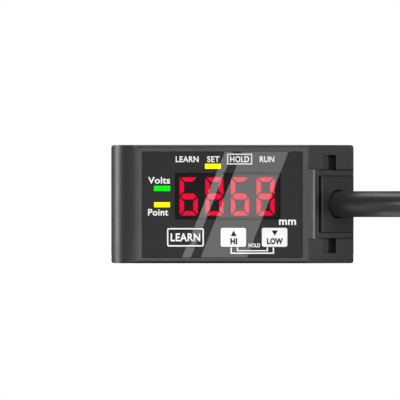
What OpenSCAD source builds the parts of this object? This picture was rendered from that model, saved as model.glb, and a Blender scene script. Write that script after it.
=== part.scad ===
// Laser displacement sensor with a digital display, lying on one of its mounting sides.
// X runs along the body, -Y is the display face, +Y is the laser face, +Z goes across the width.

/* [Case] */
// Length of the body
case_len = 41; // [37:0.5:46]
// Depth from the display face to the laser face
case_depth = 25; // [22.5:0.5:30]
// Width across the two mounting sides
case_w = 20; // [18:0.5:24]
// Thickness of the side and end walls
wall = 1.8; // [1.6:0.1:1.9]
// Radius of the large edge between the display face and the left end
corner_r = 4.8; // [4:0.1:5.2]
// Radius of the other outer edges
edge_r = 0.5; // [0.3:0.05:0.7]

/* [Mounting holes] */
// Diameter of the two screw holes across the body
mount_d = 3.2; // [2.8:0.1:3.4]
// Wall of the boss round a screw hole
mount_boss_wall = 1.3; // [1.1:0.1:1.5]
// Distance of a screw hole from the end of the body
mount_inset_x = 3.9; // [3.7:0.1:4.2]
// Distance of a screw hole from the display or laser face
mount_inset_y = 4.1; // [4:0.1:4.4]

/* [Display panel] */
// Width of the frame between the panel and the end cap
frame_end = 1; // [0.8:0.1:1.4]
// Width of the frame above the panel
frame_top = 1.15; // [0.9:0.05:1.3]
// Width of the frame below the panel
frame_foot = 0.95; // [0.8:0.05:1.2]
// Width of the bevel at the rounded end of the panel recess
frame_bevel = 0.25; // [0.15:0.05:0.3]
// Thickness of the panel
panel_t = 0.5; // [0.4:0.05:0.6]
// Distance of the panel from the left end
panel_inset = 5.2; // [5.1:0.1:5.3]
// Depth of the panel face below the frame
panel_sink = 0.15; // [0.1:0.05:0.25]
// Thickness of the case wall behind the panel
shelf_t = 1.15; // [1:0.05:1.3]

/* [Digits] */
// Strip of the panel left of the digit window
window_left = 5.55; // [5.4:0.05:5.8]
// Strip of the panel right of the digit window
window_right = 3.65; // [3.5:0.05:3.9]
// Strip of the panel above the digit window
window_head = 3.55; // [3.4:0.05:3.8]
// Strip of the panel below the digit window
window_foot = 6.45; // [6.3:0.05:6.6]
// Margin above the digits
digit_head = 0.8; // [0.6:0.05:1]
// Margin below the digits
digit_foot = 0.7; // [0.6:0.05:1]
// Margin left of the first digit
digit_indent = 0.84; // [0.7:0.02:1]
// Margin right of the last digit
digit_end = 1.06; // [0.9:0.02:1.2]
// Gap between two digits
digit_gap = 1.32; // [1.2:0.02:1.4]
// Width of the outer segments of a digit
segment_w = 0.7; // [0.6:0.05:0.9]
// Width of the middle segment of a digit
middle_w = 0.95; // [0.7:0.05:1]
// Gap between two segments
segment_gap = 0.3; // [0.2:0.05:0.45]

/* [Lamps] */
// Length of a light bar
lamp_len = 2.6; // [2.4:0.1:3]
// Height of a light bar
lamp_h = 0.75; // [0.7:0.05:1]

/* [Keys] */
// Length of the learn key
learn_len = 6.3; // [6:0.1:6.5]
// Length of the up and down keys
arrow_len = 4.3; // [4.1:0.1:4.7]
// Strip of the panel left of the learn key
key_left = 4.2; // [4:0.1:4.4]
// Strip of the panel right of the down key
key_right = 2.55; // [2.4:0.05:2.8]
// Height of the keys
key_h = 3.2; // [3:0.05:3.4]
// Diameter of the dome on a key
dome_d = 2.7; // [2.4:0.1:2.9]
// Height of the dome on a key
dome_h = 0.15; // [0.1:0.05:0.2]
// Travel of a key
key_travel = 0.25; // [0.2:0.05:0.3]
// Diameter of a key stem
stem_d = 2; // [1.8:0.1:2.2]

/* [End cap] */
// Length of the 45 degree corner
cap_len = 7.7; // [7.6:0.1:7.8]
// Thickness of the cap
cap_t = 2.2; // [2:0.1:2.4]
// Width of the bay between the two ears
bay_w = 11.7; // [11.5:0.1:12]
// Depth of the step between ear and bay
bay_step = 0.45; // [0.3:0.05:0.5]
// Length of the case lip that covers the bay
lip_len = 1.2; // [1:0.1:1.3]
// Thickness of the case lip
lip_t = 1.3; // [1.3:0.05:1.4]
// Length of a latch pocket along the slope, from its ramp to its end
latch_len = 3.3; // [3:0.1:3.5]
// Length of the deep slot at the end of a latch pocket
slot_len = 1.45; // [1.2:0.05:1.6]
// Width of a latch pocket
latch_w = 2.45; // [2.2:0.05:2.6]
// Depth of the slot at the end of a latch pocket
slot_depth = 1.8; // [1.4:0.1:1.9]

/* [Cable] */
// Diameter of the cable
cable_d = 4.5; // [4.3:0.1:4.6]
// Diameter of the cable hole
cable_hole_d = 4.9; // [4.8:0.05:5]
// Width of the grommet block
grommet_w = 9.4; // [9:0.1:9.8]
// Depth of the grommet seat in the cap
grommet_seat = 1.2; // [1:0.1:1.4]
// Straight length of the hank's runs
hank_run = 47; // [42:1:52]
// Layers in the hank
hank_layers = 5; // [4:1:6]
// Thickness of the tie round the hank
tie_t = 0.6; // [0.4:0.1:0.8]

/* [Laser face] */
// Thickness of the laser window
cover_t = 1.3; // [1:0.1:1.5]
// Thickness of the seal under the laser window
gasket_t = 0.4; // [0.3:0.05:0.5]
// Width of the case rim round the laser window
cover_rim = 0.9; // [0.8:0.05:1]

/* [Optics] */
// Diameter of the laser sleeve
sleeve_d = 8; // [7.6:0.1:8.4]
// Room behind the laser sleeve for the leads of the diode
sleeve_back = 1.9; // [1.6:0.1:3]
// Diameter of the collimator lens
collimator_d = 5; // [4.6:0.1:5.4]
// Diameter of the receiver lens
receiver_d = 8; // [7.4:0.1:8.4]
// Angle between the laser beam and the receiver's axis
receiver_angle = 18; // [14:1:20]
// Gap between the sensor board and the main board
sensor_gap = 0.93; // [0.8:0.01:1.6]

/* [Boards] */
// Thickness of the circuit boards
board_t = 1; // [0.8:0.1:1.2]
// Room between the panel shelf and the display board
board_gap = 2.5; // [2.4:0.1:2.8]
// Room between the two boards
stack_gap = 2.6; // [2.4:0.1:2.8]
// Diameter of the board screws
screw_d = 1.5; // [1.2:0.1:1.6]

/* [Clearances] */
// Gap round pieces that are set in a seat
fit = 0.05; // [0.03:0.01:0.08]
// Gap round a key in its panel opening
key_gap = 0.1; // [0.08:0.01:0.15]
// Gap between pieces that only lie near each other
room = 0.1; // [0.08:0.01:0.15]

/* [Hidden] */
$fn = 48;
cut = 1;

// Faces and levels along Y, from the display inwards
x_left = -case_len / 2;
x_right = case_len / 2;
y_face = -case_depth / 2;
y_laser = case_depth / 2;
z_mid = case_w / 2;
y_panel = y_face + panel_sink;
y_seat = y_panel + panel_t;
y_shelf = y_seat + shelf_t;
y_board = y_shelf + board_gap;
y_main = y_board + board_t + stack_gap;
y_main_back = y_main + board_t;
base_gap = 1.2;
y_base = y_main_back + base_gap;
cover_sink = 0.1;
cover_corner = 0.4;
y_cover = y_laser - cover_sink - cover_t;
y_ledge = y_cover - gasket_t;

// Panel, between the rounded end and the end cap
panel_x = x_left + panel_inset;
panel_len = case_len - panel_inset - frame_end - cap_len;
panel_end = panel_x + panel_len;
panel_w = case_w - frame_foot - frame_top;
panel_foot = frame_foot;
panel_top = case_w - frame_top;
panel_z = (panel_foot + panel_top) / 2;
panel_corner = 0.2;
frame_bevel_t = 0.1;

// Digit window and the digits in it
window_x = panel_x + window_left;
window_len = panel_len - window_left - window_right;
window_h = panel_w - window_head - window_foot;
window_z = panel_foot + window_foot + window_h / 2;
window_ledge = 0.4;
digit_count = 4;
digit_x = window_x + digit_indent;
digit_w = (window_len - digit_indent - digit_end - (digit_count - 1) * digit_gap) / digit_count;
digit_pitch = digit_w + digit_gap;
digit_h = window_h - digit_head - digit_foot;
digit_z = window_z - window_h / 2 + digit_foot;
segment_t = 0.2;

// Lamps, one above the window and two beside it
lamp_flange = 0.4;
out_inset = 6.45;
out_drop = 2.45;
side_lamp_inset = 3.4;
power_rise = 1.3;
laser_drop = 1.45;
out_x = window_x + out_inset;
out_z = panel_top - out_drop;
side_lamp_x = panel_x + side_lamp_inset;
power_z = window_z + power_rise;
laser_z = window_z - laser_drop;
led_len = 1.6;
led_w = 0.7;
led_h = 0.8;

// Keys, the middle one a little right of the middle between its neighbours
key_row = 3.45;
up_shift = 0.07;
key_corner = 0.35;
learn_x = panel_x + key_left + learn_len / 2;
down_x = panel_end - key_right - arrow_len / 2;
up_x = (learn_x + learn_len / 2 + down_x - arrow_len / 2) / 2 + up_shift;
key_z = panel_foot + key_row;

// Switches under the keys
switch_len = 4.2;
switch_w = 2.8;
switch_h = 1.2;
switch_bore = 0.8;
plunger_d = 1.6;
plunger_out = 0.6;
plunger_in = 0.4;
y_switch = y_board - switch_h;
y_plunger = y_switch - plunger_out;

// Boards and what holds them
post_d = 2.4;
spacer_d = 2.8;
screw_grip = 2;
screw_head_d = 2.6;
screw_head_h = 0.9;
screw_slot = 0.4;
board_inset = 2;
board_x0 = panel_x + board_inset;
board_x1 = panel_end;
board_z0 = wall + room;
board_z1 = case_w - wall - room;
post_start = 1.3;
post_end = 1.2;
post_inset = 1.5;
post_xs = [board_x0 + post_start, board_x1 - post_end];
post_zs = [wall + post_inset, case_w - wall - post_inset];
header_len = 10;
header_w = 2.2;
header_z = board_z1 - header_w;

// Chips on the main board: a large one in the middle and two rows clear of the spacers
chip_room = 0.8;
chip_foot = post_zs[0] + spacer_d / 2 + chip_room;
chip_head = post_zs[1] - spacer_d / 2 - chip_room;
main_chip = 7;
main_chip_h = 1;
row_chip = 3;
row_chip_h = 0.9;
row_inset = 4.6;
row_start = 1;
coil_w = 2.5;
coil_h = 1.6;
main_chip_z = header_z - header_w / 2 - chip_room - main_chip / 2;

// Corner plane: u runs along the slope, v across the width, w outwards, from the middle of the slope
cap_x = x_right - cap_len;
corner_x = x_right - cap_len / 2;
corner_y = y_face + cap_len / 2;
slope = cap_len * sqrt(2);
cap_back = cap_t * sqrt(2);
plug_depth = 1.2;
hole_u = 1.7;
grommet_u = -2.2;
grommet_gap = 0.74;
grommet_side = 0.12;
grommet_proud = 0.1;
grommet_bevel = 0.17;
lip_r = 0.25;
bay_u = -2.6;
latch_u = -2.1;
latch_ramp = 0.35;
clamp_d = 7;
clamp_len = 2;
core_d = 0.9;
core_count = 5;
core_pad_gap = 2.3;
core_spread = (post_zs[1] - post_zs[0] - 2 * core_pad_gap) / (core_count - 1);
core_landing = 2;
core_lead = 1;

// Screw bosses, one at the rounded edge and one at the opposite corner
mount_x = x_right - mount_inset_x;
mount_y = y_laser - mount_inset_y;
boss_r = mount_d / 2 + mount_boss_wall;

// Optics
base_start = 0.4;
base_end = 0.8;
base_wall = 1.2;
base_x0 = x_left + wall + base_start;
base_x1 = panel_end - base_end;
base_floor = 2;
base_top = z_mid + sleeve_d / 2 + base_wall;
beam_inset = 6;
beam_x = base_x0 + beam_inset;
laser_block_w = 10;
sleeve_y1 = y_ledge - 2 * room;
sleeve_y0 = y_base + sleeve_back;
collimator_lip = 0.2;
lens_block_len = 11;
lens_inset = 2.4;
lens_x = base_x1 - lens_block_len / 2;
lens_y = y_ledge - lens_inset;
lens_block_t = 4.5;
lens_t = 2.6;
lens_curve = 10;
ring_t = 0.8;
ring_w = 1;
diode_d = 5.6;
diode_flange = 1.2;
can_d = 3.6;
can_h = 2.4;
lead_d = 0.45;
lead_circle = 2.6;
sensor_w = 7;
sensor_h = 10;
sensor_t = 0.8;
chip_w = 5.5;
chip_h = 3;
chip_t = 1;
rail_t = 1.2;
receiver_drop = sensor_gap + sensor_w / 2 * sin(receiver_angle) + sensor_t / 2 * cos(receiver_angle);
receiver_focus = (lens_y - y_main_back - receiver_drop) / cos(receiver_angle);

// Route of the cable from inside the cap to the hank, points chosen by hand
route = [
    [13.7, -3.1, 10],
    [15.1, -4.5, 10],
    [16.9, -6.3, 10],
    [18.6, -8, 10],
    [21.3, -10.2, 10],
    [24.3, -11.8, 10],
    [27.6, -12.8, 10],
    [31, -13.1, 10],
    [34.2, -13.1, 9.8],
    [37.6, -13.1, 9.1],
    [40.8, -13.1, 8.1],
    [44, -13.1, 6.8],
    [47, -13.1, 5.5],
    [50, -13.1, 4.2],
    [53, -13.1, 3.25],
    [56, -13.1, 2.85],
    [59, -13.1, 2.85]
];
sides = 12;

// Hank: two columns of turns, the lead joins its outer run
lead_end = route[len(route) - 1];
lead_in = 13;
inner_r = 3 * cable_d;
outer_r = inner_r + cable_d;
hank_x = lead_end[0] + lead_in;
hank_y = lead_end[1] + outer_r;
hank_h = hank_layers * cable_d;
hank_top = tie_t + hank_h;
tail_len = 40;
tail_back = 30;
tail_y = hank_y - inner_r;
tail_z = hank_top + fit + cable_d / 2;
tail_step = 15;
tie_w = 3;
tie_x = hank_x + hank_run / 2;
tie_apex = 1.2;
lead_core_d = 1.1;
lead_core_len = 17;
core_tip_d = 0.7;
core_tip_len = 4.5;
core_pitch = 1.8;
core_start = [[-1.3, 0], [-0.7, 1.15], [0, -0.7], [0.7, 1.15], [1.3, 0]];

// Placing helpers

// Extrudes an outline drawn in X and Z from y0 to y1
module along_y(y0, y1) {
    translate([0, y1, 0])
        rotate([90, 0, 0])
            linear_extrude(y1 - y0)
                children();
}

// Extrudes an outline drawn in Y and Z from x0 to x1
module along_x(x0, x1) {
    translate([x0, 0, 0])
        rotate([90, 0, 90])
            linear_extrude(x1 - x0)
                children();
}

// Box between two corners
module box(low, high) {
    translate(low)
        cube(high - low);
}

// Cylinder along Y from y0 to y1
module bar_y(x, z, y0, y1, d) {
    translate([x, y1, z])
        rotate([90, 0, 0])
            cylinder(d = d, h = y1 - y0);
}

// Round rod between two points
module rod(from, to, d) {
    way = to - from;
    length = norm(way);
    translate(from)
        rotate([0, acos(way[2] / length), atan2(way[1], way[0])])
            cylinder(d = d, h = length);
}

// Frame of the corner plane
module on_corner() {
    translate([corner_x, corner_y, z_mid])
        rotate([90, 0, 45])
            children();
}

// Outline drawn in u and w, extruded across the width from v0 to v1
module corner_prism(v0, v1) {
    on_corner()
        translate([0, v1, 0])
            rotate([90, 0, 0])
                linear_extrude(v1 - v0)
                    children();
}

// Frame of the receiver's axis, with the lens at its origin and the sensor on its -Y side
module on_receiver() {
    translate([lens_x, lens_y, z_mid])
        rotate([0, 0, receiver_angle])
            children();
}

// Rectangle with round corners, around the origin
module soft_rect(length, height, r) {
    square([length - 2 * r, height], center = true);
    square([length, height - 2 * r], center = true);
    for (sx = [-1, 1], sy = [-1, 1])
        translate([sx * (length / 2 - r), sy * (height / 2 - r)])
            circle(r);
}

// What a rounding takes off a corner at the origin
module corner_cut(r) {
    difference() {
        translate([-cut, -cut])
            square(r + cut);
        translate([r, r])
            circle(r);
    }
}

// Case and cap

// Side view of the closed body
module side_profile() {
    difference() {
        translate([x_left, y_face])
            square([case_len, case_depth]);
        translate([x_left, y_face])
            corner_cut(corner_r);
        translate([x_left, y_laser])
            mirror([0, 1])
                corner_cut(edge_r);
        translate([x_right, y_laser])
            rotate(180)
                corner_cut(edge_r);
        translate([x_right, y_face])
            rotate(45)
                square(slope, center = true);
    }
}

// Closed body with all its outer roundings
module body_blank() {
    intersection() {
        linear_extrude(case_w)
            side_profile();
        along_y(y_face - cut, y_laser + cut)
            translate([0, z_mid])
                soft_rect(case_len, case_w, edge_r);
        along_x(x_left - cut, x_right + cut)
            translate([0, z_mid])
                soft_rect(case_depth, case_w, edge_r);
    }
}

// Corner zone that the end cap fills
module cap_zone() {
    translate([0, 0, -cut])
        linear_extrude(case_w + 2 * cut)
            polygon([
                [cap_x, y_face - cut],
                [x_right + cut, y_face - cut],
                [x_right + cut, y_face + cap_len + cap_back],
                [x_right, y_face + cap_len + cap_back],
                [cap_x, y_face + cap_back]
            ]);
}

// Lip of the case that reaches over the bay, with a round edge
module lip(gap) {
    tip = cap_x + lip_len + gap;
    translate([0, 0, z_mid - bay_w / 2 - gap])
        linear_extrude(bay_w + 2 * gap)
            difference() {
                translate([cap_x - frame_end / 2, y_face])
                    square([tip - cap_x + frame_end / 2, lip_t + gap]);
                translate([tip, y_face])
                    mirror([1, 0])
                        corner_cut(lip_r);
            }
}

// Hollow of the case, round the two screw bosses
module hollow() {
    translate([0, 0, wall])
        linear_extrude(case_w - 2 * wall)
            difference() {
                translate([x_left + wall, y_shelf])
                    square([case_len - 2 * wall, case_depth]);
                for (side = [-1, 1]) {
                    translate([side * mount_x, side * mount_y])
                        circle(boss_r);
                    translate([side * (mount_x + mount_inset_x / 2), side * (mount_y + mount_inset_y / 2)])
                        square([mount_inset_x, mount_inset_y], center = true);
                }
            }
}

// Openings that the panel, the window, the lamps and the keys share
module lamp_outline(gap) {
    for (place = [[out_x, out_z], [side_lamp_x, power_z], [side_lamp_x, laser_z]])
        translate(place)
            square([lamp_len + 2 * gap, lamp_h + 2 * gap], center = true);
}

module key_outlines(gap) {
    key_outline(learn_x, learn_len, gap);
    key_outline(up_x, arrow_len, gap);
    key_outline(down_x, arrow_len, gap);
}

module key_outline(x, length, gap) {
    translate([x, key_z])
        soft_rect(length + 2 * gap, key_h + 2 * gap, key_corner);
}

module window_outline(grow) {
    translate([window_x + window_len / 2, window_z])
        square([window_len + 2 * grow, window_h + 2 * grow], center = true);
}

module panel_outline(gap) {
    translate([panel_x + panel_len / 2, panel_z])
        soft_rect(panel_len + 2 * gap, panel_w + 2 * gap, panel_corner);
}

// Bevel along the rounded end of the panel recess
module recess_bevel() {
    translate([panel_x - fit, y_face, panel_foot - fit])
        linear_extrude(panel_w + 2 * fit)
            polygon([
                [cut, -frame_bevel_t],
                [-2 * frame_bevel, -frame_bevel_t],
                [0, frame_bevel_t],
                [cut, frame_bevel_t]
            ]);
}

// Cuts for the display side of the case
module display_cuts() {
    along_y(y_face - cut, y_seat)
        panel_outline(fit);
    recess_bevel();
    along_y(y_seat - cut, y_shelf + cut)
        window_outline(-window_ledge);
    along_y(y_seat - cut, y_shelf + cut)
        lamp_outline(fit);
    along_y(y_seat - cut, y_seat + key_travel + room)
        key_outlines(key_gap);
    for (x = [learn_x, up_x, down_x])
        bar_y(x, key_z, y_seat - cut, y_shelf + cut, stem_d + 4 * key_gap);
}

// Seat of the laser window and its seal
module cover_outline(gap) {
    translate([0, z_mid])
        soft_rect(case_len - 2 * cover_rim - 2 * gap, case_w - 2 * cover_rim - 2 * gap, cover_corner);
}

module case() {
    color("#4b4b4d")
        difference() {
            union() {
                difference() {
                    body_blank();
                    hollow();
                    cap_zone();
                    display_cuts();
                    along_y(y_ledge, y_laser + cut)
                        cover_outline(0);
                }
                lip(0);
                for (x = post_xs, z = post_zs)
                    bar_y(x, z, y_shelf - fit, y_board, post_d);
            }
            for (x = post_xs, z = post_zs)
                bar_y(x, z, y_board - screw_grip - room, y_board + cut, screw_d + 2 * fit);
            for (side = [-1, 1])
                translate([side * mount_x, side * mount_y, -cut])
                    cylinder(d = mount_d, h = case_w + 2 * cut);
        }
}

// Ramp of a latch pocket and the slot at its end, cut straight towards the back
module latch_outline() {
    slot_u = latch_u + latch_len - slot_len;
    deep = slot_depth - latch_ramp;
    polygon([
        [latch_u, 0],
        [slot_u, -latch_ramp],
        [slot_u + deep, -slot_depth],
        [latch_u + latch_len + slot_depth, -slot_depth],
        [latch_u + latch_len, 0],
        [latch_u + latch_len, cut],
        [latch_u, cut]
    ]);
}

// Deep seat of the grommet, the shallow bay round it and the two latch pockets
module cap_cuts() {
    far = slope;
    corner_prism(-bay_w / 2, bay_w / 2)
        polygon([[bay_u, cut], [bay_u, -bay_step], [far, -bay_step], [far, cut]]);
    corner_prism(-grommet_w / 2 - grommet_side, grommet_w / 2 + grommet_side)
        polygon([
            [grommet_u - grommet_gap, cut],
            [grommet_u - grommet_gap, -grommet_seat],
            [far, -grommet_seat],
            [far, cut]
        ]);
    for (side = [0, 1])
        mirror_across(side)
            corner_prism(bay_w / 2 - fit, bay_w / 2 + latch_w)
                latch_outline();
    on_corner()
        translate([hole_u, 0, -cap_t - plug_depth - cut])
            cylinder(d = cable_hole_d, h = cap_t + plug_depth + 2 * cut);
}

// Mirrors across the middle of the width when side is 1
module mirror_across(side) {
    translate([0, 0, side * case_w])
        mirror([0, 0, side])
            children();
}

// Part of the cap that plugs into the open corner of the case
module cap_plug() {
    near = cap_x + 2 * room;
    far = x_right - wall - 2 * room;
    drop = y_face - cap_x + cap_back;
    deep = plug_depth * sqrt(2);
    translate([0, 0, wall + room])
        linear_extrude(case_w - 2 * wall - 2 * room)
            polygon([
                [near, near + drop - cap_t / 2],
                [far, far + drop - cap_t / 2],
                [far, far + drop + deep],
                [near, near + drop + deep]
            ]);
}

module end_cap() {
    color("#403f3c")
        difference() {
            union() {
                intersection() {
                    body_blank();
                    cap_zone();
                }
                cap_plug();
            }
            cap_cuts();
            lip(fit);
        }
}

module cable_grommet() {
    end_sum = slope / 2;
    color("#3c3b39")
        difference() {
            corner_prism(-grommet_w / 2, grommet_w / 2)
                polygon([
                    [grommet_u, -grommet_seat],
                    [end_sum + grommet_seat, -grommet_seat],
                    [end_sum - grommet_proud, grommet_proud],
                    [grommet_u + grommet_bevel, grommet_proud],
                    [grommet_u, grommet_proud - grommet_bevel]
                ]);
            on_corner()
                translate([hole_u, 0, -grommet_seat - cut])
                    cylinder(d = cable_hole_d, h = grommet_seat + 2 * cut);
        }
}

// Laser window

module front_cover() {
    color("#1d1014")
        along_y(y_cover, y_cover + cover_t)
            cover_outline(fit);
}

module front_gasket() {
    color("#202020")
        along_y(y_ledge, y_cover)
            difference() {
                cover_outline(fit);
                translate([0, z_mid])
                    square([case_len - 2 * wall, case_w - 2 * wall], center = true);
            }
}

// Display side

module panel() {
    color("#373737")
        along_y(y_panel, y_seat)
            difference() {
                panel_outline(0);
                window_outline(fit);
                lamp_outline(fit);
                key_outlines(key_gap);
            }
}

module display_window() {
    color("#212121")
        along_y(y_panel, y_seat)
            window_outline(0);
}

module digit_display() {
    color("#161616") {
        along_y(y_seat + fit + segment_t, y_board)
            window_outline(-window_ledge - room);
        along_y(y_shelf + fit, y_board)
            window_outline(0);
    }
}

// One segment outline of a digit, numbered from the top one clockwise, with the middle one last
module segment(number) {
    k = segment_gap / sqrt(2);
    t = segment_w;
    m = middle_w / 2;
    half = digit_h / 2;
    flat = [[k, digit_h], [digit_w - k, digit_h], [digit_w - t - k, digit_h - t], [t + k, digit_h - t]];
    upright = [[0, digit_h - k], [t, digit_h - t - k], [t, half + t + k], [0, half + k]];
    middle = [
        [k, half],
        [k + m, half + m],
        [digit_w - k - m, half + m],
        [digit_w - k, half],
        [digit_w - k - m, half - m],
        [k + m, half - m]
    ];
    if (number == 0)
        polygon(flat);
    if (number == 1)
        flip([digit_w, 0])
            polygon(upright);
    if (number == 2)
        flip([digit_w, digit_h])
            polygon(upright);
    if (number == 3)
        flip([0, digit_h])
            polygon(flat);
    if (number == 4)
        flip([0, digit_h])
            polygon(upright);
    if (number == 5)
        polygon(upright);
    if (number == 6)
        polygon(middle);
}

// Mirrors an outline inside a frame of the given width and height, zero for no mirroring
module flip(size) {
    translate(size)
        mirror([size[0] > 0 ? 1 : 0, 0])
            mirror([0, size[1] > 0 ? 1 : 0])
                children();
}

module digit_segments() {
    color("#ff003c")
        for (place = [0 : digit_count - 1], number = [0 : 6])
            along_y(y_seat + fit, y_seat + fit + segment_t)
                translate([digit_x + place * digit_pitch, digit_z])
                    segment(number);
}

// Light bar with a collar behind the shelf
module lamp(x, z) {
    y_end = y_board - led_h - room;
    along_y(y_panel, y_end)
        translate([x, z])
            square([lamp_len, lamp_h], center = true);
    along_y(y_shelf + fit, y_end)
        translate([x, z])
            square([lamp_len + 2 * lamp_flange, lamp_h + 2 * lamp_flange], center = true);
}

module out_lamp() {
    color("#ffff00")
        lamp(out_x, out_z);
}

module power_lamp() {
    color("#00ff00")
        lamp(side_lamp_x, power_z);
}

module laser_lamp() {
    color("#ffff00")
        lamp(side_lamp_x, laser_z);
}

module lamp_leds() {
    color("#e8e0b0")
        for (place = [[out_x, out_z], [side_lamp_x, power_z], [side_lamp_x, laser_z]])
            along_y(y_board - led_h, y_board)
                translate(place)
                    square([led_len, led_w], center = true);
}

// Key top with its dome and stem
module key_top(x, length) {
    ball_r = (dome_d * dome_d / 4 + dome_h * dome_h) / (2 * dome_h);
    along_y(y_panel, y_seat)
        key_outline(x, length, 0);
    bar_y(x, key_z, y_seat - fit, y_plunger, stem_d);
    intersection() {
        translate([x, y_panel - dome_h + ball_r, key_z])
            sphere(ball_r);
        bar_y(x, key_z, y_panel - cut, y_panel + fit, dome_d + cut);
    }
}

module learn_key() {
    color("#2b2b2b")
        key_top(learn_x, learn_len);
}

module up_key() {
    color("#f2f2f2")
        key_top(up_x, arrow_len);
}

module down_key() {
    color("#f2f2f2")
        key_top(down_x, arrow_len);
}

module plunger(x) {
    bar_y(x, key_z, y_plunger, y_switch + plunger_in, plunger_d);
}

module learn_plunger() {
    color("#1b1b1b")
        plunger(learn_x);
}

module up_plunger() {
    color("#1b1b1b")
        plunger(up_x);
}

module down_plunger() {
    color("#1b1b1b")
        plunger(down_x);
}

module key_switches() {
    color("#8d8d90")
        for (x = [learn_x, up_x, down_x])
            difference() {
                along_y(y_switch, y_board)
                    translate([x, key_z])
                        square([switch_len, switch_w], center = true);
                bar_y(x, key_z, y_switch - cut, y_switch + switch_bore, plunger_d + 2 * room);
            }
}

// Circuit boards

module board(x0, y) {
    difference() {
        box([x0, y, board_z0], [board_x1, y + board_t, board_z1]);
        for (x = post_xs, z = post_zs)
            bar_y(x, z, y - cut, y + board_t + cut, screw_d + 2 * room);
    }
}

module display_board() {
    color("#1f5a3c")
        board(board_x0, y_board);
}

module main_board() {
    color("#1f5a3c")
        board(base_x0, y_main);
}

// Chip on the main board, from its middle along X and its middle across the width
module chip(x, z, length, width, height) {
    along_y(y_main - height, y_main)
        translate([x, z])
            square([length, width], center = true);
}

module board_chips() {
    left = post_xs[0] + row_start;
    right = post_xs[1] - row_inset;
    color("#191919") {
        chip(panel_x + panel_len / 2, main_chip_z, main_chip, main_chip, main_chip_h);
        chip(left, chip_head - row_chip / 2, row_chip, row_chip, row_chip_h);
        chip(right, chip_head - row_chip / 2, row_chip, row_chip, row_chip_h);
        chip(left, chip_foot + coil_w / 2, coil_w, coil_w, coil_h);
        chip(right, chip_foot + coil_w / 2, row_chip, coil_w, row_chip_h);
    }
}

module board_header() {
    color("#d8d2c0")
        along_y(y_board + board_t, y_main)
            translate([panel_x + panel_len / 2, header_z])
                square([header_len, header_w], center = true);
}

module board_spacers() {
    color("#c9a24a")
        for (x = post_xs, z = post_zs)
            difference() {
                bar_y(x, z, y_board + board_t, y_main, spacer_d);
                bar_y(x, z, y_board, y_main + cut, screw_d + 2 * room);
            }
}

module board_screws() {
    color("#b9bcc0")
        for (x = post_xs, z = post_zs) {
            bar_y(x, z, y_board - screw_grip, y_main_back + fit, screw_d);
            difference() {
                bar_y(x, z, y_main_back, y_main_back + screw_head_h, screw_head_d);
                along_y(y_main_back + screw_head_h / 2, y_main_back + screw_head_h + cut)
                    translate([x, z])
                        square([screw_head_d + cut, screw_slot], center = true);
            }
        }
}

// Optics

module optical_base() {
    color("#5d5f63")
        difference() {
            union() {
                box([base_x0, y_base, wall], [base_x1, y_ledge - room, wall + base_floor]);
                box(
                    [beam_x - laser_block_w / 2, y_base, wall],
                    [beam_x + laser_block_w / 2, y_ledge - room, base_top]
                );
                box(
                    [base_x1 - lens_block_len, y_ledge - room - lens_block_t, wall],
                    [base_x1, y_ledge - room, base_top]
                );
                on_receiver()
                    sensor_rail();
            }
            bar_y(beam_x, z_mid, y_base - cut, y_laser, sleeve_d + 2 * fit);
            on_receiver()
                bar_y(0, 0, -lens_block_t - cut, lens_block_t + cut, receiver_d + 2 * fit);
        }
}

// Upright frame in front of the sensor board, in the receiver's frame
module sensor_rail() {
    y1 = -receiver_focus + sensor_t / 2 + rail_t;
    difference() {
        box([-sensor_w / 2, y1 - rail_t, wall - z_mid], [sensor_w / 2, y1, base_top - z_mid]);
        box(
            [-chip_w / 2 - room, y1 - rail_t - cut, -chip_h / 2 - room],
            [chip_w / 2 + room, y1 + cut, chip_h / 2 + room]
        );
    }
}

module laser_sleeve() {
    color("#c79f4b")
        difference() {
            bar_y(beam_x, z_mid, sleeve_y0, sleeve_y1, sleeve_d);
            bar_y(beam_x, z_mid, sleeve_y0 - cut, sleeve_y1 + cut, collimator_d - 2 * collimator_lip);
            bar_y(beam_x, z_mid, sleeve_y0 - cut, sleeve_y0 + diode_flange, diode_d + 2 * fit);
            bar_y(beam_x, z_mid, sleeve_y1 - collimator_d / 2, sleeve_y1 + cut, collimator_d + 2 * fit);
        }
}

module laser_diode() {
    lead_r = lead_circle / 2;
    color("#d5b25c") {
        bar_y(beam_x, z_mid, sleeve_y0, sleeve_y0 + diode_flange, diode_d);
        bar_y(beam_x, z_mid, sleeve_y0, sleeve_y0 + diode_flange + can_h, can_d);
        for (angle = [90, 210, 330])
            bar_y(
                beam_x + lead_r * cos(angle), z_mid + lead_r * sin(angle),
                y_base - room, sleeve_y0 + fit, lead_d
            );
    }
}

module collimator_lens() {
    color("#cfe0ea")
        intersection() {
            bar_y(beam_x, z_mid, sleeve_y1 - collimator_d / 2, sleeve_y1, collimator_d);
            translate([beam_x, sleeve_y1 - collimator_d, z_mid])
                sphere(collimator_d);
        }
}

module receiver_lens() {
    color("#cfe0ea")
        on_receiver()
            intersection() {
                bar_y(0, 0, -lens_t / 2, lens_t / 2, receiver_d);
                for (side = [-1, 1])
                    translate([0, side * (lens_curve - lens_t / 2), 0])
                        sphere(lens_curve, $fn = 160);
            }
}

module lens_ring() {
    color("#2a2a2c")
        on_receiver()
            difference() {
                bar_y(0, 0, -lens_t / 2 - ring_t, -lens_t / 2, receiver_d);
                bar_y(0, 0, -lens_t / 2 - ring_t - cut, cut, receiver_d - 2 * ring_w);
            }
}

module sensor_board() {
    color("#1f5a3c")
        on_receiver()
            box(
                [-sensor_w / 2, -receiver_focus - sensor_t / 2, -sensor_h / 2],
                [sensor_w / 2, -receiver_focus + sensor_t / 2, sensor_h / 2]
            );
}

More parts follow.
